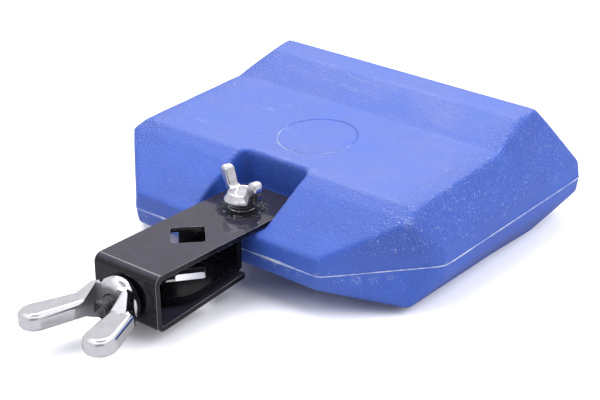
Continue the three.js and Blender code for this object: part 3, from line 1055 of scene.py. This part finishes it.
def black_paint(name):
    """Black paint with a painted sheen on level faces, a darker ring round the screw that is partly
    scraped paint and partly a painted dark reflection of the wing bolt, and a painted highlight along
    the marked rims.
    """
    sheen_share, gloss, rough_low, rough_high = PAINTS[name]
    look = Look(name)
    ragged = look.times(look.noise(560, 5, 0.8), 0.0075)
    reach = look.plus(look.from_axis(place(*SCREW_SPOT)), ragged)
    # darker ring round the screw: partly scraped paint, partly a painted dark reflection of the wing
    # bolt
    scraped_and_dark_reflection = look.ramp(reach, *DARK_RING_REACH, 1.0, 0.0)
    scraped_and_dark_reflection = look.times(scraped_and_dark_reflection, look.ramp(look.noise(800, 4, 0.8), 0.36, 0.48))
    bare = look.times(scraped_and_dark_reflection, look.ramp(look.noise(620, 5, 0.85), 0.56, 0.61))
    dust = look.times(look.ramp(look.noise(1100, 3, 0.65), 0.60, 0.76), 0.25)
    facing = look.add("SeparateXYZ")
    look.join(look.add("TexCoord").outputs["Normal"], facing.inputs[0])
    # painted sheen: upward faces get a paler tone in place of the reflection they catch
    painted_sheen = look.ramp(look.noise(180, 4), 0.2, 0.8, 0.7 * sheen_share, sheen_share)
    painted_sheen = look.times(look.ramp(facing.outputs["Z"], 0.5, 0.98), painted_sheen)
    # painted highlight: a paler grey along the strip's narrow rims
    rim = look.add("Attribute", attribute_name="painted_highlight_line").outputs["Fac"]
    rim = look.times(rim, look.ramp(look.noise(110, 4, 0.7), 0.34, 0.56, 0.15, 0.9))
    colour = look.mix(painted_sheen, PAINT_BLACK, PAINT_TOP_SHEEN)
    for share, tone in (
        (dust, PAINT_DUST), (scraped_and_dark_reflection, PAINT_BLACK), (bare, PAINT_SCRAPED), (rim, PAINT_EDGE_HIGHLIGHT)
    ):
        colour = look.mix(share, colour, tone)
    rough = look.ramp(look.noise(60, 3), 0.3, 0.7, rough_low, rough_high)
    rough = look.plus(rough, look.times(scraped_and_dark_reflection, 0.12))
    peel = look.bump(look.noise(300, 2), PEEL_DEPTH)
    scars = look.times(look.noise(800, 5, 0.8), scraped_and_dark_reflection)
    look.surface(colour, rough, look.bump(scars, SCAR_DEPTH, peel))
    look.put(look.shader, IOR=1.45, Specular_IOR_Level=gloss)
    return look.material


def metal(name, slot=False):
    """Plated or machined metal with faint pitting and uneven shine; slot dulls the wing nut's slot."""
    pale, dark, rough_low, rough_high, scale, dents = METALS[name]
    look = Look(name)
    colour = look.mix(look.ramp(look.noise(scale, 4, 0.65), 0.35, 0.7), pale, dark)
    rough = look.ramp(look.noise(scale * 0.5, 3), 0.3, 0.7, rough_low, rough_high)
    if slot:
        axes = look.axes()
        across = look.math("ABSOLUTE", axes["X"])
        inside = look.ramp(across, (NUT["slot"] + 0.1) * MM, (NUT["slot"] + 0.5) * MM, 1.0, 0.0)
        face = place(0, NUT["face"], 0).y
        inside = look.times(inside, look.ramp(axes["Y"], face + 0.2 * MM, face + 0.6 * MM, 1.0, 0.0))
        colour = look.mix(look.times(inside, 0.7), colour, SLOT_GREY)
        rough = look.plus(rough, look.times(inside, 0.36))
    look.surface(colour, rough, look.bump(look.noise(scale * 0.8, 2), dents))
    look.put(look.shader, Metallic=1.0)
    return look.material


# ---------------------------------------------------------------- pieces
def make_block():
    plastic = blue_plastic()
    upper, outline = upper_shell()
    finish_piece(upper, "block", "block_plastic", plastic, "upper_shell")
    finish_piece(lower_shell(), "block", "block_plastic", plastic, "lower_shell")
    finish_piece(parting_flash(outline), "block", "block_plastic", flash_plastic())


def make_hardware():
    zinc, satin = metal("washer_steel"), metal("screw_chrome")
    finish_piece(bracket(), "block", "bracket_paint", black_paint("bracket_paint"), "mounting_bracket")
    finish_piece(jaw(), "clamp", "bracket_paint", black_paint("jaw_paint"), "clamp_jaw")
    size = (BOLT["radius"], BOLT["thread"], BOLT["pitch"], -BOLT["rear"], -BOLT["front"])
    stud = threaded("clamp_stud", *size, "Y", BOLT_SPOT)
    finish_piece(stud, "clamp", "bolt_steel", metal("bolt_steel"), "clamp_bolt")
    finish_piece(wing_nut(), "wing_nut", "hardware_chrome", metal("hardware_chrome", True), "wing_nut")

    flat = ring_washer("washer_flat", *FLAT_WASHER)
    finish_piece(flat, "screw_washers", "washer_steel", zinc, "flat_washer")
    lock = ring_washer("washer_split", *LOCK_WASHER, LOCK_RISE)
    finish_piece(lock, "screw_washers", "washer_steel", zinc, "lock_washer")
    finish_piece(wing_bolt(), "wing_bolt", "hardware_chrome", satin, "wing_bolt")
    size = (SCREW["radius"], SCREW["thread"], SCREW["pitch"], SCREW["bottom"], HEAD["low"] + INTO_HEAD)
    shank = threaded("screw_shank", *size, "Z", SCREW_SPOT)
    finish_piece(shank, "wing_bolt", "hardware_chrome", satin)
    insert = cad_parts["threaded_insert"]
    insert.data.materials.clear()
    insert.data.materials.append(metal("insert_brass"))


# ---------------------------------------------------------------- studio
CAMERA = {"azimuth": 41.266, "elevation": 25.190, "roll": -1.077, "lens": 108.43, "distance": 0.67597}
CAMERA_TARGET = Vector((0.00515, 0.01291, 0.02186))
SOFT_WHITE = (1.0, 0.995, 1.0)
ROOM_WHITE = (0.985, 0.985, 1.0, 1)
FLOOR = {"half": 3.0, "level": -0.00015, "mirrored": (0.46, 0.46, 0.465, 1)}
FLOOR_TONES = ((0.84, 0.84, 0.895, 1), (0.87, 0.87, 0.91, 1))
# name, azimuth, elevation, distance, size, power, and what it lights: "matt" or "shine"
LAMPS = [
    ("key_softbox", 268, 74, 1.15, (0.7, 0.7), 11.3, "matt"),
    ("right_softbox", 105, 38, 1.1, (0.9, 0.9), 13.0, "matt"),
    ("front_softbox", 330, 30, 1.1, (0.9, 0.9), 6.0, "matt"),
    ("back_softbox", 211, 50, 1.2, (1.1, 0.6), 12.5, "shine"),
]
ROOM = {  # spans are of the cosine to the dark side and of the height of the way looked along
    "dark_side": (41, 12),
    "dark_span": (0.80, 0.95),
    "dark": 0.48,
    "matt_share": 0.64,
    "wall": 1.08,
    "ceiling": 1.85,
    "lid": 0.40,
    "rise": (0.45, 0.92),
    "lid_rise": (0.925, 0.965),
}


def direction(azimuth, elevation):
    """From the object towards that azimuth and elevation, with azimuth 0 in front of the bracket."""
    a, e = math.radians(azimuth), math.radians(elevation)
    return Vector((math.sin(a) * math.cos(e), -math.cos(a) * math.cos(e), math.sin(e)))


def make_camera():
    data = bpy.data.cameras.new("camera")
    data.lens = CAMERA["lens"]
    data.sensor_width = 36
    camera = linked("camera", data)
    back = direction(CAMERA["azimuth"], CAMERA["elevation"])
    camera.rotation_mode = "QUATERNION"
    camera.location = CAMERA_TARGET + back * CAMERA["distance"]
    level = (-back).to_track_quat("-Z", "Y")
    camera.rotation_quaternion = level @ Quaternion((0, 0, 1), math.radians(CAMERA["roll"]))
    bpy.context.scene.camera = camera


def make_floor():
    """Pale paper, which shows darker in the hardware's reflections."""
    bm = bmesh.new()
    half = FLOOR["half"]
    corners = [(-half, -half), (half, -half), (half, half), (-half, half)]
    bm.faces.new([bm.verts.new((x, y, FLOOR["level"])) for x, y in corners])
    look = Look("floor")
    paper = look.mix(look.noise(40, 3), *FLOOR_TONES)
    mirrored = look.add("LightPath").outputs["Is Glossy Ray"]
    rough = look.ramp(look.noise(90, 2), 0.2, 0.8, 0.55, 0.65)
    look.surface(look.mix(mirrored, paper, FLOOR["mirrored"]), rough)
    look.put(look.shader, Specular_IOR_Level=0.25)
    new_object("floor", bm, look.material)


def softbox(name, azimuth, elevation, distance, size, power, lights):
    """Rectangular lamp for either the matt or the shiny part of every surface."""
    data = bpy.data.lights.new(name, "AREA")
    data.shape = "RECTANGLE"
    data.size, data.size_y = size
    data.energy = power
    data.color = SOFT_WHITE
    lamp = linked(name, data)
    way = direction(azimuth, elevation)
    lamp.location = Vector((0, 0, 0.02)) + way * distance
    lamp.rotation_mode = "QUATERNION"
    lamp.rotation_quaternion = way.to_track_quat("Z", "Y")
    lamp.visible_diffuse = lights == "matt"
    lamp.visible_glossy = lights == "shine"


def make_studio():
    """A pale room, brighter overhead and darker on the side that faces the bracket's right."""
    world = bpy.data.worlds.new("studio")
    bpy.context.scene.world = world
    world.use_nodes = True
    world.node_tree.nodes.clear()
    room = Nodes(world.node_tree)
    way = room.add("TexCoord").outputs["Generated"]
    axes = room.add("SeparateXYZ")
    room.join(way, axes.inputs[0])
    facing = room.add("VectorMath", operation="DOT_PRODUCT")
    room.join(way, facing.inputs[0])
    facing.inputs[1].default_value = direction(*ROOM["dark_side"])
    dark = room.ramp(facing.outputs["Value"], *ROOM["dark_span"], 1.0, ROOM["dark"])
    bright = room.ramp(axes.outputs["Z"], *ROOM["rise"], ROOM["wall"], ROOM["ceiling"])
    lid = room.ramp(axes.outputs["Z"], *ROOM["lid_rise"], 1.0, ROOM["lid"])
    diffuse = room.add("LightPath").outputs["Is Diffuse Ray"]
    shade = room.ramp(diffuse, 0, 1, 1.0, ROOM["matt_share"])
    back = room.add("Background")
    room.put(back, Color=ROOM_WHITE)
    room.join(room.times(dark, room.times(bright, lid), shade), back.inputs["Strength"])
    room.join(back.outputs[0], room.add("OutputWorld").inputs["Surface"])
    for lamp in LAMPS:
        softbox(*lamp)


make_camera()
make_studio()
make_floor()
make_block()
make_hardware()
bpy.context.scene.view_settings.view_transform = "Standard"
